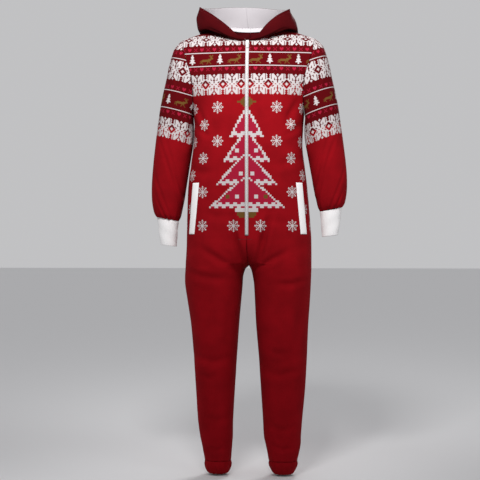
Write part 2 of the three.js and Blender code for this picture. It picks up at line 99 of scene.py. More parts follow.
BODY_COLUMNS = "z left_out right_out left_in right_in front back"
RING_COLUMNS = "ring top_x top_z low_x low_z half"
# Half widths and depths of the body and legs by height
BODY = Table(
    BODY_COLUMNS,
    (-290, 184, 184, 0, 0, 124, 114), (-340, 180, 181, 0, 0, 127, 114),
    (-400, 178, 185, 0, 0, 129, 112), (-460, 185, 193, 0, 0, 128, 108),
    (-533, 194, 202, 0, 0, 126, 106), (-613, 201, 205, 0, 0, 126, 112),
    (-693, 207, 207, 0, 0, 126, 124), (-747, 208, 209, 0, 0, 124, 132),
    (-790, 208, 211, 0, 0, 120, 134), (-803, 208, 212, 8, 12, 118, 132),
    (-827, 207, 213, 13, 19, 114, 127), (-853, 206, 213, 17, 21, 110, 122),
    (-907, 203, 205, 20, 26, 103, 112), (-987, 197, 193, 24, 33, 95, 102),
    (-1093, 193, 184, 33, 40, 84, 92), (-1200, 187, 177, 40, 47, 72, 82),
    (-1307, 177, 170, 47, 53, 61, 68), (-1360, 173, 163, 50, 54, 54, 60),
    (-1387, 172, 157, 56, 56, 50, 56), (-1440, 161, 147.5, 66.5, 60, 43, 47),
)
ANKLE_CUFF = Table(
    BODY_COLUMNS,
    (-1440, 161, 147.5, 66.5, 60, 43, 47), (-1452, 161.5, 148, 66, 59, 44.5, 48),
    (-1464, 157, 145.5, 71, 61, 42, 45), (-1475, 151.5, 141, 77, 65.5, 37, 39),
    (-1483, 146, 135, 83, 71, 31, 33),
)
CENTRE = {
    "front": Table("z depth", (-290, 124), (-240, 123), (-190, 119), (-140, 111), (-100, 101), (-57, 86)),
    "back": Table("z depth", (-290, 114), (-230, 114), (-170, 111), (-120, 104), (-70, 90), (-40, 76),
                  (-18, 60)),
}
ARMHOLE = Table("z out", (-290, 184), (-247, 181.5), (-189, 184), (-146, 193), (-96, 209), (-53, 217),
                (-38, 217))
SLEEVE = Table(
    RING_COLUMNS,
    (1, 233, -50, 186.5, -300, 76), (2, 247, -66, 186, -311, 76.5), (3, 257, -92, 185, -323, 76),
    (4, 268, -130, 184.5, -337, 75), (5, 277, -175, 184.5, -353, 73), (6, 288, -222, 186, -374, 71),
    (7, 298, -275, 190, -400, 69), (8, 306, -330, 196, -432, 67), (9, 314, -388, 203, -470, 65),
    (10, 321, -445, 210, -508, 62), (11, 325.5, -498, 216, -543, 59), (12, 325, -545, 223, -573, 55),
    (13, 319, -580, 229, -597, 48), (14, 311, -596, 234, -608, 39), (15, 308.5, -600, 235, -613, 33.5),
)
WRIST_CUFF = Table(
    RING_COLUMNS,
    (0, 308.5, -600.5, 235, -613.5, 33.5), (1, 305, -632, 238.5, -642, 30.5),
    (2, 300, -664, 241, -672, 27), (3, 296, -691, 242.5, -697, 24),
)
# The hood's outer face by its place around the neck, 0 at the zip and 180 at the back seam:
# out from the neck (a, b), round the fold (c), up the outer wall (d) to the rim (r)
HOOD = Table(
    "turn ax ay az bx by bz cx cy cz dx dy dz rx ry rz",
    (0, 7, -88, -55, 7, -89.5, -53.5, 7, -90.3, -52.2, 7, -90.6, -51, 7, -90.5, -50),
    (20, 37, -88, -51, 41, -92, -47, 42, -92, -43, 38, -91, -39, 32, -88, -37),
    (42, 70, -76, -38, 80, -84, -32, 84, -82, -19, 80, -77, -6, 69, -68, 3),
    (62, 96, -52, -23, 113, -60, -19, 122, -59, -4, 121, -52, 16, 107, -43, 36),
    (80, 108, -18, 4, 140, -26, -8, 159, -24, -11, 161, -14, 22, 147, -6, 64),
    (98, 107, 13, 9, 143, 24, -6, 164, 30, -13, 164, 34, 26, 149, 28, 69),
    (118, 100, 44, 4, 134, 68, -20, 155, 84, -42, 157, 84, 16, 136, 60, 73),
    (138, 72, 62, 8, 98, 98, -50, 122, 126, -92, 142, 132, -18, 104, 86, 78),
    (160, 34, 74, 10, 48, 112, -90, 62, 143, -164, 72, 156, -38, 52, 101, 85),
    (180, 0.15, 78, 11, 0.15, 117, -105, 0.15, 146, -200, 0.15, 162, -58, 0.15, 107, 87),
)

# Folds and creases. A row is a path of two or three points seen from its face (distance out,
# height), then half width and depth. Creases are for the wearer's left, right or both sides.
WIDE_FOLDS = {
    "front": (
        (52, -712, 30, -772, 24, 5), (175, -735, 60, -775, 26, 4), (160, -265, 110, -345, 28, 4),
        (60, -1115, 165, -1090, 26, 3),
    ),
    "back": (
        (45, -822, 175, -800, 28, 6), (150, -560, 40, -590, 30, 4), (60, -1105, 160, -1125, 26, 4),
        (165, -255, 115, -340, 28, 4),
    ),
}
CREASES = {
    "front": {
        "left": (
            (76, -620, 56, -700, 32, -792, 10, 14), (130, -744, 84, -770, 34, -800, 9, 4),
            (192, -838, 140, -852, 90, -850, 10, 3.2), (168, -248, 140, -300, 128, -352, 9, 3.6),
            (182, -438, 140, -452, 92, -470, 13, 3), (150, -640, 118, -652, 64, -642, 13, 2.6),
            (56, -1136, 104, -1150, 178, -1130, 12, 4), (66, -1064, 96, -1078, 130, -1074, 10, 2.6),
            (66, -1318, 112, -1332, 164, -1318, 10, 3.2), (74, -1384, 116, -1398, 160, -1388, 8, 3),
            (124, -860, 108, -960, 118, -1070, 20, 4.2), (172, -900, 166, -980, 158, -1080, 13, 2.6),
        ),
        "right": (
            (50, -630, 38, -700, 16, -792, 9, 14), (66, -668, 54, -716, 46, -752, 7, 5),
            (150, -732, 96, -768, 40, -806, 10, 4.5), (200, -806, 150, -826, 66, -838, 12, 4),
            (170, -262, 146, -322, 138, -372, 8, 3.4), (188, -470, 150, -488, 104, -486, 13, 3.2),
            (150, -615, 104, -632, 56, -628, 13, 2.6), (60, -1092, 110, -1108, 172, -1092, 11, 3.8),
            (92, -1150, 126, -1160, 168, -1148, 10, 2.6), (62, -1290, 104, -1302, 156, -1288, 11, 3.2),
            (66, -1390, 104, -1402, 144, -1394, 8, 3), (134, -880, 112, -990, 116, -1080, 20, 4.4),
            (60, -900, 66, -1000, 72, -1080, 13, 2.6),
        ),
        "both": (
            (22, -716, 14, -752, 8, -786, 8, 5), (178, -320, 152, -352, 118, -372, 8, 2.6),
            (112, -1170, 102, -1240, 108, -1310, 16, 3),
        ),
    },
    "back": {
        "left": (
            (36, -696, 26, -740, 12, -780, 8, 4.6), (176, -804, 110, -824, 40, -826, 11, 5),
            (150, -860, 100, -872, 60, -866, 11, 3), (166, -256, 142, -316, 132, -362, 9, 3.4),
            (154, -545, 90, -560, 22, -556, 13, 3.8), (60, -1096, 112, -1108, 170, -1100, 12, 4.2),
            (70, -1330, 110, -1344, 154, -1334, 10, 3), (124, -870, 106, -960, 112, -1050, 20, 3.8),
        ),
        "right": (
            (48, -686, 32, -738, 16, -782, 8, 5), (188, -794, 120, -812, 46, -820, 11, 5.2),
            (162, -246, 136, -300, 122, -350, 9, 3.6), (164, -585, 100, -596, 26, -590, 13, 3.6),
            (56, -1128, 108, -1138, 162, -1126, 12, 4.2), (70, -1062, 104, -1074, 150, -1064, 10, 2.8),
            (66, -1380, 104, -1394, 146, -1384, 9, 3.2), (114, -890, 104, -980, 114, -1060, 20, 3.6),
        ),
        "both": ((62, -180, 66, -260, 58, -380, 18, 2.6),),
    },
}
# On a sleeve a point is (distance round from the front, distance down from the shoulder end)
SLEEVE_CREASES = {
    "left": ((-110, 250, -50, 262, 30, 250, 9, 2.8), (-90, 292, -30, 306, 60, 296, 10, 2.6)),
    "right": ((-120, 268, -60, 284, 20, 276, 9, 3), (-80, 318, -20, 328, 70, 312, 10, 2.4)),
    "both": (
        (-95, 70, -70, 130, -30, 190, 9, 3.2), (95, 20, 60, 60, 10, 90, 12, 2),
        (-60, 430, 0, 446, 80, 436, 10, 2.2), (-90, 486, -30, 500, 50, 492, 9, 2.8),
        (140, 240, 180, 262, 220, 250, 10, 2.8), (150, 400, 190, 420, 230, 410, 10, 2.4),
        (20, 130, 26, 240, 14, 330, 16, 1.8),
    ),
}
# On the hood a point is (turn round the neck in degrees, share of the way out to the rim)
HOOD_CREASES = (
    (30, 0.25, 50, 0.42, 70, 0.5, 9, 2.2), (52, 0.12, 66, 0.3, 84, 0.36, 9, 2.6),
    (92, 0.1, 96, 0.3, 104, 0.48, 10, 3), (124, 0.1, 122, 0.3, 128, 0.5, 11, 3.4),
    (150, 0.12, 148, 0.36, 154, 0.52, 12, 3.4), (100, 0.72, 122, 0.7, 146, 0.76, 12, 3),
    (76, 0.7, 84, 0.84, 88, 0.97, 10, 3), (150, 0.66, 164, 0.8, 176, 0.84, 11, 2.6),
)


# Lines and grids of points


def along_line(points):
    return np.concatenate([[0], np.cumsum(np.linalg.norm(np.diff(points, axis=0), axis=1))])


def run_across(grid):
    """Length along every row of a grid of points, from its first column."""
    steps = np.linalg.norm(np.diff(grid, axis=1), axis=2)
    return np.cumsum(np.pad(steps, ((0, 0), (1, 0))), axis=1)


def run_down(grid):
    """Length along every column, from the first row."""
    return run_across(grid.swapaxes(0, 1)).T


def mean_down(grid):
    """The mean of those lengths, as a column for the whole grid."""
    return run_down(grid).mean(axis=1, keepdims=True)


def unit(vectors):
    return vectors / np.maximum(1e-9, np.linalg.norm(vectors, axis=-1, keepdims=True))


def read_line(points, at, along=None):
    """Values of a line of points, or of anything that goes with them, at distances along it."""
    along = along_line(points) if along is None else along
    return np.stack([np.interp(at, along, points[:, k]) for k in range(points.shape[1])], axis=1)


def spaced(length, count, near=(0.8, 1.8, 3.2, 6.0)):
    """Distances across a piece: close together by its two seams and even between them."""
    near = np.array(near) * min(1.0, length / 40)
    start = np.concatenate([[0], near])
    stop = length - start[::-1]
    return np.concatenate([start, np.linspace(start[-1], stop[0], count)[1:-1], stop])


def normals(grid, turn):
    across, down = np.empty_like(grid), np.empty_like(grid)
    across[:, 1:-1] = grid[:, 2:] - grid[:, :-2]
    across[:, 0], across[:, -1] = grid[:, 1] - grid[:, 0], grid[:, -1] - grid[:, -2]
    down[1:-1] = grid[2:] - grid[:-2]
    down[0], down[-1] = grid[1] - grid[0], grid[-1] - grid[-2]
    return unit(np.cross(across, down) * turn)


def path_of(row):
    """The path, half width and depth in a row of the tables of creases."""
    return np.reshape(row[:-2], (-1, 2)), row[-2], row[-1]


def beside(points, path):
    """Distance of points from a path, and how far along it they lie, from 0 to 1."""
    path = np.array(path, float)
    length = along_line(path)
    gap, share = np.full(points.shape[:-1], 1e9), np.zeros(points.shape[:-1])
    for k in range(len(path) - 1):
        step = path[k + 1] - path[k]
        t = clamp(((points - path[k]) @ step) / (step @ step))
        away = np.linalg.norm(points - path[k] - t[..., None] * step, axis=-1)
        share = np.where(away < gap, mix(length[k], length[k + 1], t) / length[-1], share)
        gap = np.minimum(gap, away)
    return gap, share


def crease(points, path, wide, deep):
    """Depth of a crease: a soft groove with a low ridge on each side that fades at its ends."""
    gap, share = beside(points, path)
    fade = np.sin(math.pi * np.clip(share, 0.03, 0.97)) ** 0.7
    return deep * fade * (np.exp(-((gap / wide) ** 2)) - 0.4 * np.exp(-((gap / wide - 1.9) ** 2)))


def creases(points, table, side):
    return sum(crease(points, *path_of(row)) for row in table[side] + table["both"])


def seam_dip(distance, deep=1.2):
    return deep * clamp(1 - distance / 3.4) ** 2


def rolled_hem(down, deep):
    """How far the folded end of a cuff turns in over its last 2.5 mm."""
    return deep * clamp(1 - (down[-1] - down) / 2.5) ** 2


def smooth_line(points, count):
    """Points at even distances on a centripetal curve through a few points."""
    p = np.array([2 * points[0] - points[1], *points, 2 * points[-1] - points[-2]])
    out = []
    for k in range(1, len(p) - 2):
        d0, d1, d2 = (max(1e-4, np.linalg.norm(p[k + i] - p[k + i - 1])) ** 0.5 for i in range(3))
        leave = ((p[k] - p[k - 1]) / d0 - (p[k + 1] - p[k - 1]) / (d0 + d1) + (p[k + 1] - p[k]) / d1) * d1
        reach = ((p[k + 1] - p[k]) / d1 - (p[k + 2] - p[k]) / (d1 + d2) + (p[k + 2] - p[k + 1]) / d2) * d1
        t = np.linspace(0, 1, 24, endpoint=k == len(p) - 3)[:, None]
        out.append(hermite(p[k], p[k + 1], leave, reach, t))
    line = np.concatenate(out)
    return read_line(line, np.linspace(0, along_line(line)[-1], count))


# Meshes


def make(name, verts, faces, finish, smooth=True, pattern=None):
    mesh = bpy.data.meshes.new(name)
    faces = faces.tolist() if isinstance(faces, np.ndarray) else faces
    mesh.from_pydata((np.asarray(verts) * MM).tolist(), [], faces)
    if smooth:
        mesh.shade_smooth()
    if pattern is not None:
        flat = np.zeros((len(verts), 3), np.float32)
        flat[:, :2] = pattern
        mesh.attributes.new("pattern_mm", "FLOAT_VECTOR", "POINT").data.foreach_set("vector", flat.ravel())
    mesh.materials.append(finish)
    obj = bpy.data.objects.new(name, mesh)
    bpy.context.scene.collection.objects.link(obj)
    return obj


def cloth(name, grid, thick, turn, finish, out=None, pattern=None, painted_shade_inside=None):
    """A closed wall of cloth whose outer face is the grid; printed cloth has a plain inner face, whose darker
    red is painted shade.
    """
    rows, cols = grid.shape[:2]
    out = normals(grid, turn) if out is None else out
    verts = np.concatenate([grid.reshape(-1, 3), (grid - out * thick).reshape(-1, 3)])
    at, under = np.arange(rows * cols).reshape(rows, cols), rows * cols
    a, b, c, d = at[:-1, :-1], at[:-1, 1:], at[1:, 1:], at[1:, :-1]
    quads = [(a, b, c, d), (a + under, d + under, c + under, b + under)]
    for p, q in ((at[0, :-1], at[0, 1:]), (at[-1, 1:], at[-1, :-1]),
                 (at[1:, 0], at[:-1, 0]), (at[:-1, -1], at[1:, -1])):
        quads.append((p, p + under, q + under, q))
    faces = np.concatenate([np.stack(q, -1).reshape(-1, 4) for q in quads])
    if turn < 0:
        faces = faces[:, ::-1]
    if pattern is not None:
        pattern = np.concatenate([pattern.reshape(-1, 2)] * 2)
    obj = make(name, verts, faces, finish, pattern=pattern)
    if painted_shade_inside is not None:
        obj.data.materials.append(painted_shade_inside)
        plain = np.arange(len(faces)) >= (rows - 1) * (cols - 1)
        obj.data.polygons.foreach_set("material_index", plain.astype(np.int32))
    return obj


def place(obj, slot, *nodes, body="garment"):
    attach(obj, body)
    if nodes:
        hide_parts(*nodes)
    return obj


def stitches(name, line, out, finish, slot, pitch=3.6, long=2.6, wide=0.55):
    """A row of separate stitches along a line, each pulled a little into the cloth."""
    along = along_line(line)
    at = np.arange(pitch / 2, along[-1] - long / 2, pitch)
    start, middle, end = (read_line(line, at + k * long / 2, along) for k in (-1, 0, 1))
    up = read_line(out, at, along)
    across = unit(np.cross(end - start, up))
    verts = np.stack([
        start - up * 0.15, middle + across * wide, middle + up * 0.45, middle - across * wide,
        end - up * 0.15,
    ], axis=1).reshape(-1, 3)
    faces = np.array([(0, 1, 2), (0, 2, 3), (4, 2, 1), (4, 3, 2), (0, 3, 1), (4, 1, 3)])
    faces = (faces[None] + 5 * np.arange(len(at))[:, None, None]).reshape(-1, 3)
    return place(make(name, verts, faces, finish), slot)


# Shader nodes


def hexed(colour):
    parts = [int(colour[i : i + 2], 16) / 255 for i in (1, 3, 5)]
    return tuple(p / 12.92 if p <= 0.04045 else ((p + 0.055) / 1.055) ** 2.4 for p in parts) + (1.0,)


def node(tree, kind, *values, **settings):
    """Adds a node with its settings, and links or sets its inputs in order."""
    made = tree.nodes.new("ShaderNode" + kind)
    for key, value in settings.items():
        setattr(made, key, value)
    for socket, value in zip(made.inputs, values):
        if isinstance(value, bpy.types.NodeSocket):
            tree.links.new(value, socket)
        elif value is not None:
            socket.default_value = value
    return made


def material(name, colour="#FFFFFF", **settings):
    made = bpy.data.materials.new(name)
    made.use_nodes = True
    shader = made.node_tree.nodes["Principled BSDF"]
    shader.inputs["Base Color"].default_value = hexed(colour)
    for key, value in settings.items():
        shader.inputs[key.replace("_", " ").title().replace("Ior", "IOR")].default_value = value
    return made, made.node_tree, shader


# Print, given as charts: # is a worked cell and a dot is the ground

# A quarter of the star band. Columns go from the middle of a star to the middle of a lozenge,
# rows from the middle of the band outwards; the first and last are shared by both halves.
STAR_BAND = (
    "##..##....###", "#######....##", ".####..#....#", ".#####..#....", ".#########...", "..#..######..",
    ".###.###.####", ".###.###.##..", ".#######.#...", "..######.##..", "#..#####.#...", "##..####.##..",
    "#....###.#...",
)
HEARTS = ("##.##....#...#", "#####.....#.#.", "#####......#..", ".###......#.#.", "..#......#...#")
FIR = ("#....", "#....", "##...", "##...", "#....", "##...", "###..", "##...", "###..", "####.", "#....",
       "#....")
DEER = (
    "............#..#.", "...........#.#.#.", "............###..", ".............##..", ".............###.",
    "..........######.", "...###########...", ".############....", "#.##########.....", ".##......#.#.....",
    "#.#......#..#....", "...#....#....#...",
)
# The emblem in cells: how far out it goes, and the top, foot and half width of each tier
EMBLEM_HALF, EMBLEM_TIERS = 20, ((6, 21, 8.4), (18, 34, 12.0), (30, 46, 15.6), (42, 58, 19.4))
RAMP_ROWS, RAMP_BITS = 32, 20  # what one colour ramp holds: rows, and cells in a row


def emblem():
    """Half of a big decorated fir in rows of cells: r rose, w white, t tan."""
    rows = []
    for y in range(2 * RAMP_ROWS):
        row = ["."] * EMBLEM_HALF
        for x in range(EMBLEM_HALF):
            for number, (top, foot, half) in enumerate(EMBLEM_TIERS):
                reach = half * max(0, (y - top) / (foot - top)) ** 0.9
                if not (top < y <= foot and x < reach):
                    continue
                scallop = foot - (x % 4 in (1, 2))
                row[x] = "w" if y in (scallop, scallop - 1) or x + 1.3 >= reach else "r"
                bauble, across = divmod(x + 3 * (number % 2), 5)
                fits = half * ((foot - 6 - top) / (foot - top)) ** 0.9 - (x - across) > 5.5
                if across in (2, 3) and y in (foot - 6, foot - 5) and fits:
                    row[x] = "wt"[(bauble + number) % 2]
            if abs(y - 3) + x < 4 or y == 3 and x < 5:
                row[x] = "t"
            if y > 58 and x < 6 - (y - 59) // 2:
                row[x] = "w" if y in (59, 60) else "t"
        rows.append("".join(row))
    return rows


# Millimetres: an emblem cell and its top, then repeats, starts and cells (wide, high) of the motifs
CELL, EMBLEM_TOP, EMBLEM_FOOT = 6.2, -238.0, -640.0
STAR_HALF, STAR_START, STAR_WIDE, STAR_HIGH = 30.0, 0.7, 2.502, 2.7
HEART_REPEAT, HEART_CELL, HEART_RISE = 42.0, 2.33, 5.8
FOREST_REPEAT, FIR_MIDDLE, DEER_START = 93.0, 16.0, 41.6
FIR_WIDE, FIR_HIGH, DEER_WIDE, DEER_HIGH = 2.5, 2.7, 2.75, 2.6
LINE_HALF = 1.35
# Snowflakes: steps to the next, the heights between which they lie, arms and dots (out, aside, radius)
FLAKE_ACROSS, FLAKE_DOWN, FLAKE_TOP, FLAKE_FOOT = 53.0, 55.0, -262.0, -690.0
FLAKE_START, BESIDE_EMBLEM = -386.0, (0.318, -53.7)  # a flake's height, the emblem's slope and edge
ARM_HALF, ARM_LONG = 1.2, 17.0
FLAKE_DOTS = ((17.2, 0.0, 2.7), (10.2, 0.0, 2.2), (13.0, 5.2, 1.5), (0.0, 0.0, 5.2))
BODY_BANDS = dict(stars=(-37, -201), hearts=(-84, -150), lines=(-95, -139.5), forest=-117)
BANDS = {
    "front_left": dict(BODY_BANDS, star_from=-20, forest_from=-35, flake_from=-8),
    "front_right": dict(BODY_BANDS, star_from=12, forest_from=-12, flake_from=10),
    "back": dict(BODY_BANDS, star_from=0, forest_from=-20, flake_from=0),
    "sleeve": dict(stars=(-42, -147, -344), hearts=(-87, -205, -290), lines=(-106, -217, -277), forest=-247,
                   star_from=-38, forest_from=-54),
}


def cloth_place(tree):
    """Where a spot lies on the cloth itself, in millimetres across and up."""
    return node(tree, "SeparateXYZ", node(tree, "Attribute", attribute_name="pattern_mm").outputs[1]).outputs


def printed(tree, kind):
    """White, rose and tan masks of the print."""
    s, t, _ = cloth_place(tree)
    bands = BANDS[kind]

    def calc(operation, *values):
        return node(tree, "Math", *values, operation=operation).outputs[0]

    def minus(a, b):
        return calc("SUBTRACT", a, b)

    def times(a, b):
        return calc("MULTIPLY", a, b)

    def repeat(value, start, length):
        return calc("FLOORED_MODULO", minus(value, start), length)

    def whole(value, size):
        return calc("FLOOR", calc("DIVIDE", value, size))

    def rows_below(top, high):
        return whole(minus(top, t), high)

    def between(value, low, high):
        return times(calc("GREATER_THAN", value, low), calc("LESS_THAN", value, high))

    def union(masks):
        total = masks[0]
        for mask in masks[1:]:
            total = calc("MAXIMUM", total, mask)
        return total

    def charted(rows, column, row, marks="#"):
        """Masks of a chart: a ramp holds each of its rows as the bits of one number."""
        ramp = node(tree, "ValToRGB", calc("DIVIDE", calc("ADD", row, 0.5), len(rows)))
        ramp.color_ramp.interpolation = "CONSTANT"
        stops = ramp.color_ramp.elements
        while len(stops) < len(rows):
            stops.new(1.0)
        for k, line in enumerate(rows):
            stops[k].position = k / len(rows)
            bits = [sum((cell == mark) << i for i, cell in enumerate(line)) for mark in marks]
            stops[k].color = ([bit / 2**RAMP_BITS for bit in bits] + [0, 0])[:3] + [1]
        split = node(tree, "SeparateColor", ramp.outputs[0])
        size = calc("POWER", 2.0, calc("MAXIMUM", column, 0.0))
        within = times(between(row, -0.5, len(rows) - 0.5), between(column, -0.5, len(rows[0]) - 0.5))
        masks = []
        for k in range(len(marks)):
            number = calc("MULTIPLY_ADD", split.outputs[k], 2.0**RAMP_BITS, 0.5)
            masks.append(times(calc("FLOORED_MODULO", whole(number, size), 2.0), within))
        return masks

    white, rose, tan = [], [], []
    from_star = minus(s, bands["star_from"])
    for middle in bands["stars"]:
        column = whole(calc("ADD", calc("PINGPONG", from_star, STAR_HALF), STAR_START), STAR_WIDE)
        from_middle = calc("ABSOLUTE", minus(t, middle))
        white += charted(STAR_BAND, column, whole(calc("ADD", from_middle, STAR_HIGH / 2), STAR_HIGH))
    for middle in bands["hearts"]:
        column = whole(calc("FLOORED_MODULO", from_star, HEART_REPEAT), HEART_CELL)
        rose += charted(HEARTS, column, rows_below(middle + HEART_RISE, HEART_CELL))
    for middle in bands["lines"]:
        white.append(calc("LESS_THAN", calc("ABSOLUTE", minus(t, middle)), LINE_HALF))
    run, forest = repeat(s, bands["forest_from"], FOREST_REPEAT), bands["forest"]
    column = whole(calc("ABSOLUTE", minus(run, FIR_MIDDLE)), FIR_WIDE)
    white += charted(FIR, column, rows_below(forest + len(FIR) / 2 * FIR_HIGH, FIR_HIGH))
    column = whole(minus(run, DEER_START), DEER_WIDE)
    tan += charted(DEER, column, rows_below(forest + len(DEER) / 2 * DEER_HIGH, DEER_HIGH))
    if kind == "sleeve":
        return union(white), union(rose), union(tan)

    flakes = []
    for k in (0, 1):  # two columns of snowflakes, the second half a repeat up and across
        x = minus(repeat(s, bands["flake_from"] - FLAKE_ACROSS * k, 2 * FLAKE_ACROSS), FLAKE_ACROSS)
        y = minus(repeat(t, FLAKE_START + FLAKE_DOWN * k, 2 * FLAKE_DOWN), FLAKE_DOWN)
        radius = calc("SQRT", calc("ADD", times(x, x), times(y, y)))
        angle = calc("PINGPONG", calc("ARCTAN2", y, x), math.pi / 8)
        out, off = times(radius, calc("COSINE", angle)), times(radius, calc("SINE", angle))
        parts = [times(calc("LESS_THAN", off, ARM_HALF), calc("LESS_THAN", out, ARM_LONG))]
        for middle, aside, size in FLAKE_DOTS:
            along, over = minus(out, middle), minus(off, aside)
            parts.append(calc("LESS_THAN", calc("ADD", times(along, along), times(over, over)), size * size))
        # A flake is whole or absent: its own middle decides, also beside the widening emblem.
        up, across = minus(t, y), calc("ABSOLUTE", minus(s, x))
        shown = between(up, FLAKE_FOOT, FLAKE_TOP)
        if kind != "back":
            slope, edge = BESIDE_EMBLEM
            clear = calc("GREATER_THAN", calc("MULTIPLY_ADD", up, slope, across), edge)
            shown = times(shown, calc("MAXIMUM", clear, calc("LESS_THAN", up, EMBLEM_FOOT)))
        flakes.append(times(union(parts), shown))
    flake = union(flakes)
    if kind != "back":
        rows, column = emblem(), whole(calc("ABSOLUTE", s), CELL)
        for first in (0, RAMP_ROWS):
            row = rows_below(EMBLEM_TOP - first * CELL, CELL)
            masks = charted(rows[first : first + RAMP_ROWS], column, row, "wrt")
            for total, mask in zip((white, rose, tan), masks):
                total.append(mask)
    return union([*white, flake]), union(rose), union(tan)


# Colours of the fleece where it is thick and where it is worn, of the ground behind the bands and of the
# print: white, rose and tan. The reds of the inner faces are painted shade: kept dark for the shadow they lie
# in.
FLEECE_REDS = {
    "body": ("#76070F", "#800811"), "hood": ("#330104", "#3B0205"), "painted_shade_inside": ("#3E060B", "#46070D"),
}
BAND_GROUND, INKS = "#4D0308", ("#ABA5A5", "#8A152C", "#5A401D")


def blend(tree, mask, under, ink):
    """One colour over another, which may be a blend too, where a mask is 1."""
    mixed = node(tree, "Mix", data_type="RGBA")
    tree.links.new(mask, mixed.inputs[0])
    if isinstance(under, str):
        mixed.inputs[6].default_value = hexed(under)
    else:
        tree.links.new(under, mixed.inputs[6])
    mixed.inputs[7].default_value = hexed(ink)
    return mixed.outputs[2]


def soft_noise(tree, size):
    place_in_cloth = node(tree, "TexCoord").outputs["Object"]
    return node(tree, "TexNoise", place_in_cloth, None, 1 / (size * MM), 2.0).outputs[0]


def raise_grain(tree, shader, size, strength, height):
    """Fine unevenness of a cloth, its size and height in millimetres."""
    bump = node(tree, "Bump", strength, height * MM)
    tree.links.new(soft_noise(tree, size), bump.inputs["Height"])
    tree.links.new(bump.outputs[0], shader.inputs["Normal"])


def fleece(kind):
    """Printed short-pile polyester fleece: brushed, so it is matt, mottles softly and has a trace
    of pale sheen. The pile, about 1 mm, is too fine to show and is drawn at 2.5 mm."""
    made, tree, shader = material(
        f"brushed_polyester_fleece_{kind}", roughness=0.92, specular_ior_level=0.05, sheen_weight=0.015,
        sheen_roughness=0.6, sheen_tint=hexed("#D05058"),
    )
    worn = node(tree, "MapRange", soft_noise(tree, 60), 0.35, 0.65, 0.0, 1.0).outputs[0]
    colour = blend(tree, worn, *FLEECE_REDS.get(kind, FLEECE_REDS["body"]))
    if kind in BANDS:
        # Behind the bands the ground is printed a deeper red.
        lowest = BANDS[kind]["stars"][-1] + 4.0
        deep = node(tree, "Math", cloth_place(tree)[1], lowest, operation="GREATER_THAN")
        colour = blend(tree, deep.outputs[0], colour, BAND_GROUND)
        for mask, ink in zip(reversed(printed(tree, kind)), reversed(INKS)):
            colour = blend(tree, mask, colour, ink)
    tree.links.new(colour, shader.inputs["Base Color"])
    raise_grain(tree, shader, 2.5, 0.25, 0.4)
    return made


def knit(name, colour, loop):
    """Smooth cotton-rich jersey: close rows of tiny loops, matt, with a faint grain."""
    made, tree, shader = material(
        name, colour, roughness=0.88, specular_ior_level=0.3, sheen_weight=0.1, sheen_roughness=0.5,
    )
    raise_grain(tree, shader, loop, 0.3, 0.3)
    return made


FABRIC = {kind: fleece(kind) for kind in (*BANDS, "plain", "hood", "painted_shade_inside")}
RIB = knit("white_rib_knit_cotton", "#E4E2E2", 1.5)
WELT_KNIT = knit("white_folded_jersey", "#E4E3E3", 1.2)
LINING_KNIT = knit("light_grey_jersey", "#B6B1B4", 1.4)
# Woven polyester zip tape: flat and close. It is coloured greyer than the white knits: the grey is painted
# shade for the tape's shaded edges.
TAPE_IN_PAINTED_SHADE = knit("white_woven_polyester_tape_greyed_as_painted_shade", "#ACA8A9", 0.8)
# Moulded acetal teeth: a low plastic sheen
TEETH = material("white_moulded_acetal_teeth", "#C6C4C3", roughness=0.38, ior=1.48)[0]
# Die-cast zinc with a baked white lacquer: smooth, with clear small highlights
LACQUER = material("white_baked_lacquer_on_zinc", "#BCBAB9", roughness=0.25, ior=1.5, coat_weight=0.3)[0]
# Spun polyester thread, matt
RED_THREAD = material("red_polyester_thread", "#5A070E", roughness=0.8)[0]
WHITE_THREAD = material("white_polyester_thread", "#BDB8B8", roughness=0.8)[0]


# Body panels

# Lines across a panel. Above the underarm they are numbered: SHOULDER runs along the shoulder,
# NECK_CENTRE starts where the neck seam meets the centre, and 0 is the underarm. Below it they go
# by height.
SHOULDER, NECK_CENTRE = 10, 6
ROWS = np.concatenate([np.linspace(SHOULDER, NECK_CENTRE, 23), np.linspace(NECK_CENTRE, 0.25, 32)[1:]])
ZIP_TOP = 22  # the row at the neck's centre
YOKE_ROUND = 0.8
HEIGHTS = np.concatenate([
    np.linspace(UNDERARM, ZIP_FOOT, 76), np.linspace(ZIP_FOOT - 3.2, -850, 48), np.linspace(-856, ANKLE, 106),
])


def inner_edge(side, face, z):
    if z < CROTCH:
        return max(HALF_SEAM, BODY(z)[f"{side}_in"])
    if face == "back":
        return HALF_SEAM
    return mix(ZIP_HALF, HALF_SEAM, min(1, max(0, (ZIP_FOOT - z) / 12)))


def level_line(side, face, z, at=None):
    """A panel's outer face at one height, from its inner edge to the side seam."""
    inner = inner_edge(side, face, z) if at is None else at[f"{side}_in"]
    at = at or BODY(z)
    outer, depth = at[f"{side}_out"], at[face]
    leg = float(ease((-620 - z) / 170))
    seat = -688 if face == "front" else -640
    fork = min(1, max(0, (seat - z) / (seat - CROTCH)))
    full = inner + (outer - inner) * 0.48 * leg
    power = mix(0.8, 0.92, leg)
    a = np.radians(np.linspace(180, 0, 241))
    first = a > math.pi / 2
    start = np.where(first, inner, outer)
    shallow = np.where(first, depth * (1 - fork**2.4) ** (1 / 2.4), 0)
    x = full + (start - full) * np.abs(np.cos(a)) ** power
    y = shallow + (depth - shallow) * np.abs(np.sin(a)) ** power
    y = mix(HALF_SEAM, depth, y / depth)
    return np.stack([x * SIDES[side], y * FACES[face], np.full_like(x, z)], axis=1)


def armhole(angle):
    middle = (UNDERARM - SHOULDER_DROP) / 2
    z = middle + (UNDERARM - middle) * math.cos(math.radians(angle))
    return np.array([ARMHOLE(z)["out"], max(HALF_SEAM, ARMHOLE_DEEP * math.sin(math.radians(angle))), z])


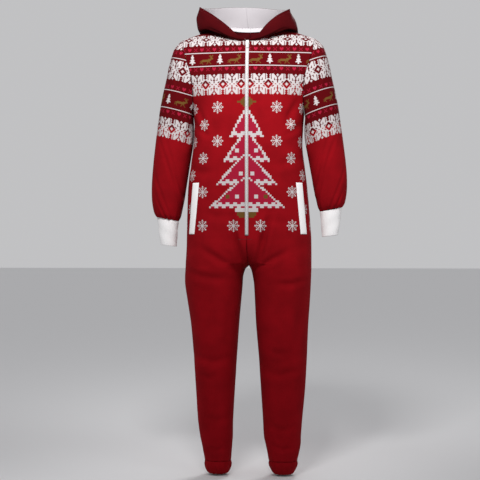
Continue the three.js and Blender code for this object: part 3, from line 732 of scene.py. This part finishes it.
def neck_seam(turn):
    face = "front" if turn <= 90 else "back"
    away = abs(math.cos(math.radians(turn)))
    x = mix(ZIP_HALF if face == "front" else HALF_SEAM, NECK_HALF, math.sin(math.radians(turn)))
    depth = max(HALF_SEAM, NECK_DEPTH[face] * away)
    return np.array([x, depth * FACES[face], -NECK_DROP[face] * away])


def yoke_line(side, face, row):
    """The same above the underarm, from the centre or the neck seam to the armhole."""
    outer = armhole(180 * row / SHOULDER)
    if row <= NECK_CENTRE:
        z = mix(UNDERARM, -NECK_DROP[face], row / NECK_CENTRE)
        inner = np.array([inner_edge(side, face, z), CENTRE[face](z)["depth"], z])
    else:
        turn = 90 * (row - NECK_CENTRE) / (SHOULDER - NECK_CENTRE)
        inner = neck_seam(turn if face == "front" else 180 - turn)
        inner[1] = abs(inner[1])
    share = 0.7 if row > SHOULDER - 0.05 else min(0.9, outer[1] / inner[1])
    cut = math.asin(share ** (1 / YOKE_ROUND))
    a = np.linspace(math.pi / 2, cut, 161)
    out = (np.maximum(0, np.cos(a)) / math.cos(cut)) ** YOKE_ROUND
    floor = math.sin(cut) ** YOKE_ROUND
    up = (np.sin(a) ** YOKE_ROUND - floor) / (1 - floor)
    sag = out ** (1 + 0.35 * max(0, row - SHOULDER + 1))
    return np.stack([
        mix(inner[0], outer[0], out) * SIDES[side],
        mix(outer[1], inner[1], up) * FACES[face],
        mix(inner[2], outer[2], sag),
    ], axis=1)


def panel(side, face):
    lines = [yoke_line(side, face, row) for row in ROWS]
    lines += [level_line(side, face, z) for z in HEIGHTS]
    across = np.array([spaced(along_line(line)[-1], 38) for line in lines])
    grid = np.array([read_line(line, at) for line, at in zip(lines, across)])
    turn, level = SIDES[side] * FACES[face], len(ROWS)
    z = grid[..., 2]

    # The print runs level round the body, and over the shoulder it keeps its size on the cloth.
    s = np.abs(grid[:, :1, 0]) + run_across(grid[..., :2])
    t = z.copy()
    for i in range(level - 1, -1, -1):
        step = np.linalg.norm(grid[i] - grid[i + 1], axis=1)
        t[i] = np.where(z[i] > OVER_SHOULDER, t[i + 1] + step, z[i])
    way = SIDES[side] if face == "front" else -SIDES[side]
    pattern = np.stack([s * way, t], axis=-1)

    edge = np.minimum(across, across[:, -1:] - across)
    down = mean_down(grid)
    seen = np.stack([np.abs(grid[..., 0]), z], axis=-1)
    deep = np.zeros_like(z)
    for path, wide, depth in map(path_of, WIDE_FOLDS[face]):
        gap, _ = beside(seen, path)
        deep += depth * np.exp(-((gap / wide) ** 2)) * clamp(edge / 30)
    deep += creases(seen, CREASES[face], side) * clamp(edge / 8)
    # Above the ankle cuff the leg is gathered a little.
    gather = np.sin(s * 0.21 + 1.3 * SIDES[side]) + 0.6 * np.sin(s * 0.37 + 2.0 * FACES[face])
    deep += 0.9 * gather * clamp((ANKLE + GATHERED - z) / GATHERED) * clamp(edge / 12)
    closed = (z[:, :1] < ZIP_FOOT - 14) | (face == "back")
    deep += seam_dip(across, 1.2) * closed + seam_dip(across, 0.5) * ~closed
    deep += seam_dip(across[:, -1:] - across) + seam_dip(down) + seam_dip(down[-1] - down, 0.4)
    if face == "front":
        deep += 0.45 * np.exp(-(((across - 5) / 1.2) ** 2)) * ~closed

    out = normals(grid, turn)
    out[level:, -1, 1] = 0
    out[:, 0, 0] = np.where(z[:, 0] > CROTCH, 0, out[:, 0, 0])
    out[:, 0, 1] = np.where(z[:, 0] > CROTCH, out[:, 0, 1], 0)
    out[0, :, 1] = 0
    grid = grid - unit(out) * deep[..., None]
    out = normals(grid, turn)
    name = f"{face}_{side}"
    fabric = FABRIC[name if face == "front" else "back"]
    # The inner faces are coloured in the dark red of painted shade.
    obj = cloth(f"{name}_cloth", grid, FLEECE, turn, fabric, out, pattern, FABRIC["painted_shade_inside"])
    place(obj, "fleece", name)
    return dict(grid=grid, out=out, across=across)


def on_panel(part, z, distances):
    """Points and normals on a front panel at a height, at distances from its inner edge."""
    level = len(ROWS)
    i = level + min(int(np.searchsorted(-HEIGHTS, -z, side="right")) - 1, len(HEIGHTS) - 2)
    t = (HEIGHTS[i - level] - z) / (HEIGHTS[i - level] - HEIGHTS[i - level + 1])
    return [
        mix(read_line(part[key][i], distances, part["across"][i]),
            read_line(part[key][i + 1], distances, part["across"][i + 1]), t)
        for key in ("grid", "out")
    ]


# Sleeves and cuffs

AROUND = 96
BAND_SLOPE = {"left": 0.36, "right": 0.27}  # the printed bands run down towards the body
BAND_MIDDLE = 240  # the distance out at which a band has its own height
PRINT_SHIFT = {"left": -33, "right": 0}  # where the print starts round each sleeve
WRIST_RIBS = 52  # half of the real number, so that they show
SLEEVE_AXIS = (38, 175, 264, 476, 640), (182, 210, 231, 265.5, 274)  # distances down and out
OVAL_HALF, OVAL_DEEP = 57, 73  # the sleeve's level cut, from which the print is measured


def ring(side, at, count=AROUND):
    a = np.radians(np.linspace(0, 360, count + 1))
    c, s = np.cos(a), np.sin(a)
    up = (1 - np.sign(c) * np.abs(c) ** 0.94) / 2
    x, z = mix(at["low_x"], at["top_x"], up), mix(at["low_z"], at["top_z"], up)
    y = -np.sign(s) * np.abs(s) ** 0.94 * at["half"]
    longer = RIGHT_SLEEVE_LONGER if side == "right" else 0
    return np.stack([x * SIDES[side], y, z - longer * ease((-z - 300) / 300)], axis=1)


def sleeve(side):
    start = []
    for angle in np.linspace(0, 360, AROUND + 1):
        p = armhole(angle if angle <= 180 else 360 - angle)
        start.append(((p[0] + 0.3) * SIDES[side], p[1] * (-1 if angle < 180 else 1), p[2]))
    start, second = np.array(start), ring(side, SLEEVE(1))
    rings = [mix(start, second, t) for t in (0, 0.05, 0.12, 0.22, 0.4, 0.6, 0.8)]
    rings += [ring(side, SLEEVE(k)) for k in np.concatenate([
        np.linspace(1, 12, 80), np.linspace(12.1, 14.6, 26), (14.75, 14.87, 14.95, 15)])]
    grid = np.array(rings)
    around, down = run_across(grid), run_down(grid)
    front = slice(AROUND // 4, AROUND // 4 + 1)
    from_front = around - around[:, front]
    edge = np.minimum(around, around[:, -1:] - around)
    # The rings lie aslant, so the print is measured level round an oval about the sleeve's axis.
    far = np.abs(grid[..., 0])
    from_axis = far - np.interp(-grid[..., 2], *SLEEVE_AXIS)
    a = np.unwrap(np.arctan2(from_axis / OVAL_HALF, -grid[..., 1] / OVAL_DEEP), axis=1)
    a -= 2 * math.pi * np.round(a[:, front] / (2 * math.pi))
    level = (OVAL_HALF + OVAL_DEEP) / 2 * a - (OVAL_DEEP - OVAL_HALF) / 4 * np.sin(2 * a)
    level = level * SIDES[side] + PRINT_SHIFT[side]
    pattern = np.stack([level, grid[..., 2] - BAND_SLOPE[side] * (far - BAND_MIDDLE)], axis=-1)
    seen = np.stack([from_front, down], axis=-1)
    deep = creases(seen, SLEEVE_CREASES, side) * clamp(edge / 8)
    left = down[-1] - down
    a = np.linspace(0, 2 * math.pi, AROUND + 1)
    gather = np.sin(13 * a + 0.7 * np.sin(3 * a)) + 0.5 * np.sin(21 * a + 1.1)
    deep += 1.1 * gather * clamp(1 - left / 60) * clamp(left / 8) * clamp(edge / 10)
    deep += seam_dip(down) + seam_dip(left) + seam_dip(edge)
    out = normals(grid, -SIDES[side])
    out[0, :, 0] = 0
    grid = grid - unit(out) * deep[..., None]
    name = f"sleeve_{side}"
    # The inner faces are coloured in the dark red of painted shade.
    fabric, painted_shade_inside = FABRIC["sleeve"], FABRIC["painted_shade_inside"]
    obj = cloth(f"{name}_cloth", grid, FLEECE, -SIDES[side], fabric, None, pattern, painted_shade_inside)
    place(obj, "fleece", name)


def pushed_in(grid, side, deep):
    return grid - normals(grid, -SIDES[side]) * deep[..., None]


def wrist_cuff(side):
    count = 6 * WRIST_RIBS
    rings = (0, 0.02, 0.05, 0.09, *np.linspace(0.15, 2.9, 22), 2.94, 2.97, 3)
    grid = np.array([ring(side, WRIST_CUFF(k), count) for k in rings])
    a = np.linspace(0, 2 * math.pi, count + 1)
    down = mean_down(grid)
    deep = 0.55 * (1 - np.abs(np.cos(WRIST_RIBS / 2 * a + 0.25 * np.sin(5 * a)))) ** 1.5 + seam_dip(down)
    waver = 0.8 * np.sin(2 * a + 0.09 * down) * np.sin(math.pi * down / down[-1])
    deep = deep + rolled_hem(down, 0.9) + waver
    name = f"wrist_cuff_{side}"
    obj = cloth(f"{name}_knit", pushed_in(grid, side, deep), FLEECE, -SIDES[side], RIB)
    place(obj, "rib", name)


def ankle_cuff(side):
    rows, count = [], 120
    for z in (-1440.3, -1441, -1442, -1443.5, -1446, *np.linspace(-1449, -1480, 18), -1481.5, -1482.5, -1483):
        at = ANKLE_CUFF(z)
        halves = [level_line(side, face, z, at) for face in ("front", "back")]
        loop = np.concatenate([halves[0], halves[1][::-1][1:]])
        rows.append(read_line(loop, np.linspace(0, along_line(loop)[-1], count + 1)))
    grid = np.array(rows)
    a = np.linspace(0, 2 * math.pi, count + 1)
    down = mean_down(grid)
    gather = np.sin(15 * a + 0.8 * np.sin(2 * a)) + 0.5 * np.sin(23 * a + 0.6)
    fade = clamp(down / 10) * clamp(0.35 + (down[-1] - down) / 40)
    deep = 0.9 * gather * fade + seam_dip(down, 0.3) + rolled_hem(down, 0.8)
    name = f"ankle_cuff_{side}"
    obj = cloth(f"{name}_cloth", pushed_in(grid, side, deep), FLEECE, -SIDES[side], FABRIC["plain"])
    place(obj, "fleece", name)


# Hood and its lining

TURNS = np.concatenate([(0, 1, 2.4, 4.5), np.linspace(7, 173, 52), (176, 178.2, 179.3, 180)])
RIM_STITCH = 10.0  # stitch line below the rim
HOOD_TURN, HOOD_OUT = 2.0, 240  # millimetres of a degree round the neck and of the whole way out


def hood(side):
    rows = []
    for turn in TURNS:
        at = HOOD(turn)
        neck = neck_seam(turn) + (0.8 * max(0, 1 - turn / 13), 0, 0.4)
        points = [neck] + [np.array([at[k + "x"], at[k + "y"], at[k + "z"]]) for k in "abcdr"]
        line = smooth_line(points, 400)
        rows.append(read_line(line, spaced(along_line(line)[-1], 46)))
    grid = np.array(rows)
    turn_way = -SIDES[side]
    along = run_across(grid)
    length = along[:, -1:]
    share = along / length
    free = ease(share * 2.8) * ease((grid[..., 2] + 45) / 110)
    grid[..., 0] = np.maximum(HALF_SEAM, grid[..., 0]) * SIDES[side] - free * HOOD_LEAN
    grid[..., 2] -= free * HOOD_TILT * grid[..., 0]
    turns = TURNS[:, None] + 0 * share
    seen = np.stack([turns * HOOD_TURN, share * HOOD_OUT], axis=-1)
    deep = np.zeros_like(share)
    for path, wide, depth in map(path_of, HOOD_CREASES):
        path = [(turn * HOOD_TURN + 3 * SIDES[side], part * HOOD_OUT) for turn, part in path]
        deep += crease(seen, path, wide, depth)
    size = clamp(length / 120)
    deep *= size * clamp((180 - turns) / 8)
    shell = deep + seam_dip(along) * size + seam_dip((180 - turns) * 1.8)
    shell += 0.6 * np.exp(-(((length - along - RIM_STITCH) / 1.3) ** 2)) * size
    out = normals(grid, turn_way)
    out[-1, :, 0] = 0
    out = unit(out)
    outer = grid - out * shell[..., None]
    name = f"hood_{side}"
    obj = place(cloth(f"{name}_cloth", outer, FLEECE, turn_way, FABRIC["hood"]), "fleece", name)
    inner = grid - out * (deep + FLEECE + 0.5)[..., None]
    name = f"hood_lining_{side}"
    obj = place(cloth(f"{name}_knit", inner, LINING, turn_way, LINING_KNIT), "lining", name)
    rows = slice(8, len(TURNS) - 3)
    at = (length - RIM_STITCH * size)[rows]
    line = [read_line(*row)[0] for row in zip(outer[rows], at, along[rows])]
    stitches(f"hood_rim_stitch_{side}", np.array(line), out[rows, -4], RED_THREAD, "fleece")


# Zip

TOOTH_PITCH = 2.6


def zip_half(side, part):
    last = len(ROWS) + int(np.argmin(np.abs(HEIGHTS - ZIP_FOOT)))
    rows = range(ZIP_TOP, last + 1)
    way = np.array([SIDES[side], 0, 0])
    profile, middle, facing = [], [], []
    for i in rows:
        edge = part["grid"][i, 0].copy()
        out = part["out"][i, 0] * (0, 1, 1)
        out /= np.linalg.norm(out)
        across = part["grid"][i, 9] - part["grid"][i, 0]
        across /= np.linalg.norm(across)
        centre = np.array([0, edge[1], edge[2]])
        behind = edge - out * (FLEECE + 0.45)
        profile.append([
            centre + way * 0.2 - out * 1.1, centre + way * 2.6 - out * 1.1, centre + way * 4.6 - out * 1.2,
            centre + way * 5.2 - out * 1.8, behind, behind + across * 6, behind + across * 11.5,
        ])
        middle.append(centre - out * 0.5)
        facing.append(out)
    name = f"zip_tape_{side}"
    # The tape's grey colour is painted shade for its shaded edges.
    tape = place(cloth(f"{name}_ribbon", np.array(profile), 0.7, -SIDES[side], TAPE_IN_PAINTED_SHADE), "zip_tape", name)
    middle, facing = np.array(middle), np.array(facing)
    along = along_line(middle)
    start = 6 + (TOOTH_PITCH / 2 if side == "left" else 0)
    at = np.arange(start, along[-1] - 3, TOOTH_PITCH)
    spot, out = read_line(middle, at, along), read_line(facing, at, along)
    down = np.cross(out, (1.0, 0, 0))
    verts = []
    for x, half, height in ((-0.9, 0.62, 0.5), (1.0, 0.5, 0.85), (3.0, 0.62, 0.6)):
        for dy, dz in ((-0.6, -1), (-0.6, 1), (1, 1), (1, -1)):
            verts.append(spot + way * x + down * dz * half + out * (dy * height if dy > 0 else dy))
    verts = np.stack(verts, axis=1).reshape(-1, 3)
    faces = [(0, 1, 2, 3), (11, 10, 9, 8)]
    for k in (0, 4):
        faces += [(k + i, k + 4 + i, k + 4 + (i + 1) % 4, k + (i + 1) % 4) for i in range(4)]
    faces = (np.array(faces)[None] + 12 * np.arange(len(at))[:, None, None]).reshape(-1, 4)
    teeth = place(make(f"zip_teeth_{side}", verts, faces, TEETH, smooth=False), "zip_tape", name)
    line = np.array([read_line(part["grid"][i], [5.0], part["across"][i])[0] for i in rows])
    out = np.array([part["out"][i, 4] for i in rows])
    stitches(f"zip_topstitch_{side}", line, out, RED_THREAD, "fleece", pitch=3.4)


def turned(points, base):
    """From the slider's own upright place to the slope of the cloth at the top of the zip."""
    top, lean = base
    c, s = math.cos(-lean), math.sin(-lean)
    x, y, z = np.asarray(points, float).T
    return np.stack([x, y * c - z * s + top[1], y * s + z * c + top[2]], axis=1)


def arc(x, z, r, start, stop, count):
    a = np.radians(np.linspace(start, stop, count))
    return [(x + r * math.cos(k), z + r * math.sin(k)) for k in a]


def plates(name, shapes, base, bevel=0.25):
    """Plates given as an outline (x, z) with its front and back, or (depth, z) across the zip."""
    verts, faces = [], []
    for outline, near, far, sideways in shapes:
        n, first = len(outline), len(verts)
        for depth in (near, far):
            verts += [(depth, -a, b) if sideways else (a, depth, b) for a, b in outline]
        faces += [[first + i for i in range(n)], [first + n + i for i in reversed(range(n))]]
        faces += [[first + i, first + n + i, first + n + (i + 1) % n, first + (i + 1) % n] for i in range(n)]
    obj = make(name, turned(verts, base), faces, LACQUER, smooth=False)
    round_off = obj.modifiers.new("rounded_edges", "BEVEL")
    round_off.width, round_off.segments = bevel * MM, 2
    return obj


def slider(base):
    shield = [(-4.5, 0.5), (-3.4, 2), (3.4, 2), (4.5, 0.5), (4.1, -6), (3.6, -11), (-3.6, -11), (-4.1, -6)]
    neck = [(-2.2, -0.2), (2.2, -0.2), (2.2, 2), (-2.2, 2)]
    bail = arc(1.5, -4.5, 3.6, -90, 90, 13) + arc(1.5, -4.5, 2.3, 90, -90, 11)
    shapes = [(shield, -1.5, -0.35, False), (shield, 3.9, 5.1, False), (neck, -0.6, 4.2, False),
              (bail, -0.7, 0.7, True)]
    place(plates("zip_slider_lacquered", shapes, base), "zip_slider", "zip_slider")


def pull_tab(base):
    """A flat tab with an eye, drawn as a left and a right half that meet around the eye."""
    shapes = []
    for way in (1, -1):
        half = [(0, -0.6), (1.5, -0.6), (1.5, -5.2), (0, -5.2), (0, -21)]
        half += arc(1.3, -19, 2, -90, 0, 6) + arc(2.3, -0.4, 1, 0, 90, 5) + [(0, 0.6)]
        half = [(x * way, z - 4.5) for x, z in half]
        shapes.append((half[::way], -3.25, -2.05, False))
    place(plates("zip_pull_lacquered", shapes, base, 0.15), "zip_slider", "zip_pull", body="pull_tab")


# Pocket welts

WELT_HEIGHT, WELT_OUT = (-520, -688), (169, 184)  # of the top and the foot of a welt's middle
WELT_HALF, WELT_STITCH = 15, 11.5


def pocket_welt(side, part):
    """A folded strip sewn on over the pocket opening: pillowed, with a stitch line by each edge."""
    rows, outs = [], []
    offsets = np.array([2, 5, 8, 11, 13, 14.2, 14.8, WELT_HALF])
    offsets = np.concatenate([-offsets[::-1], offsets])
    for t in (0, 0.004, 0.012, 0.025, *np.linspace(0.05, 0.95, 44), 0.975, 0.988, 0.996, 1):
        z, target = mix(*WELT_HEIGHT, t), mix(*WELT_OUT, t)
        reach = np.linspace(60, 300, 961)
        centre = reach[int(np.argmax(np.abs(on_panel(part, z, reach)[0][:, 0]) >= target))]
        points, out = on_panel(part, z, centre + offsets)
        end = min(1, min(t, 1 - t) * (WELT_HEIGHT[0] - WELT_HEIGHT[1]) / 4)
        raised = 0.9 + 1.5 * clamp((WELT_HALF - np.abs(offsets)) / 3.0) ** 0.5 * end**0.5
        raised = raised - 0.45 * np.exp(-(((np.abs(offsets) - WELT_STITCH) / 1.1) ** 2))
        rows.append(points + out * raised[:, None])
        outs.append(out)
    grid, out = np.array(rows), np.array(outs)
    name = f"pocket_welt_{side}"
    welt = place(cloth(f"{name}_strip", grid, 1.4, -SIDES[side], WELT_KNIT, out), "welt", name)
    sewn = [stitches(f"welt_stitch_{k}_{side}", grid[2:-2, j], out[2:-2, j], WHITE_THREAD, "welt", wide=0.5)
            for k, j in (("inner", 3), ("outer", 12))]


def zip_foot(parts):
    """The red facing behind the foot of the zip and the close row of stitches across it."""
    rows = []
    for z in np.linspace(ZIP_FOOT + 2, ZIP_FOOT - 26, 8):
        depth = on_panel(parts["left"], min(z, ZIP_FOOT - 0.5), np.array([0.5]))[0][0, 1]
        rows.append([(x, depth + FLEECE + 1.4, z) for x in np.linspace(9, -9, 7)])
    facing = cloth("zip_foot_facing", np.array(rows), 0.8, 1, FABRIC["plain"])
    place(facing, "fleece")
    line, out = [], []
    for side, distances in (("right", np.linspace(30, 0.5, 16)), ("left", np.linspace(0.5, 18, 12))):
        points, normal = on_panel(parts[side], ZIP_FOOT - 13, distances)
        line.append(points)
        out.append(normal)
    stitches("zip_foot_bar_tack", np.concatenate(line), np.concatenate(out), RED_THREAD, "fleece",
             pitch=1.3, long=1.6, wide=1.1)


# The garment put together

fronts = {}
for side in SIDES:
    fronts[side] = panel(side, "front")
    panel(side, "back")
    sleeve(side)
    wrist_cuff(side)
    ankle_cuff(side)
    hood(side)
    zip_half(side, fronts[side])
    pocket_welt(side, fronts[side])
zip_foot(fronts)
zip_top = np.array([0, -NECK_DEPTH["front"], -NECK_DROP["front"]])
below = CENTRE["front"](zip_top[2] - LEAN_OVER)["depth"]
zip_base = (zip_top, math.atan2(below - NECK_DEPTH["front"], LEAN_OVER))
slider(zip_base)
pull_tab(zip_base)


# Room: a plain pale floor just below the hems, soft light and the photograph's own angle

GAZE_FROM = math.radians(4)
DISTANCE, SENSOR = 4.1, 36.0
ACROSS = 1.6  # metres of the garment's plane that the frame spans
AIM_ASIDE, AIM_HEIGHT = -0.030, -0.707
SKY = 0.58
FLOOR, FLOOR_HALF = -1489, 30e3
SPREAD = math.radians(55)
# Where each lamp stands and what it faces in metres, then its size and power
LAMPS = {
    "key": ((-0.15, -1.7, 1.0), (0, 0, -0.05), 0.5, 7.3),
    "fill": ((1.4, -1.3, 0.2), (0, 0, -0.3), 0.8, 1.0),
    "back": ((0.5, 1.8, 0.8), (0, 0, -0.3), 0.8, 7),
}


def aimed(name, data, spot, target):
    obj = bpy.data.objects.new(name, data)
    obj.location = spot
    obj.rotation_euler = (Vector(target) - Vector(spot)).to_track_quat("-Z", "Y").to_euler()
    bpy.context.scene.collection.objects.link(obj)
    return obj


def room():
    plaster, _, _ = material("pale_matt_plaster", "#DEDEDF", roughness=0.95)
    corners = [(x * FLOOR_HALF, y * FLOOR_HALF, FLOOR) for x, y in ((-1, -1), (1, -1), (1, 1), (-1, 1))]
    make("floor", corners, [(0, 1, 2, 3)], plaster, smooth=False)
    world = bpy.data.worlds.new("pale_room")
    world.use_nodes = True
    sky = world.node_tree.nodes["Background"]
    sky.inputs[0].default_value, sky.inputs[1].default_value = hexed("#F6F6F8"), SKY
    bpy.context.scene.world = world
    bpy.context.scene.view_settings.view_transform = "Standard"
    for name, (spot, target, size, power) in LAMPS.items():
        data = bpy.data.lights.new(name, "AREA")
        data.energy, data.size, data.spread = power, size, SPREAD
        aimed(name, data, spot, target)
    lens = bpy.data.cameras.new("photograph")
    lens.sensor_width, lens.lens, lens.clip_end = SENSOR, SENSOR * DISTANCE / ACROSS, 100
    aim = Vector((AIM_ASIDE * math.cos(GAZE_FROM), AIM_ASIDE * math.sin(GAZE_FROM), AIM_HEIGHT))
    spot = aim + DISTANCE * Vector((math.sin(GAZE_FROM), -math.cos(GAZE_FROM), 0))
    bpy.context.scene.camera = aimed("photograph", lens, spot, aim)


room()
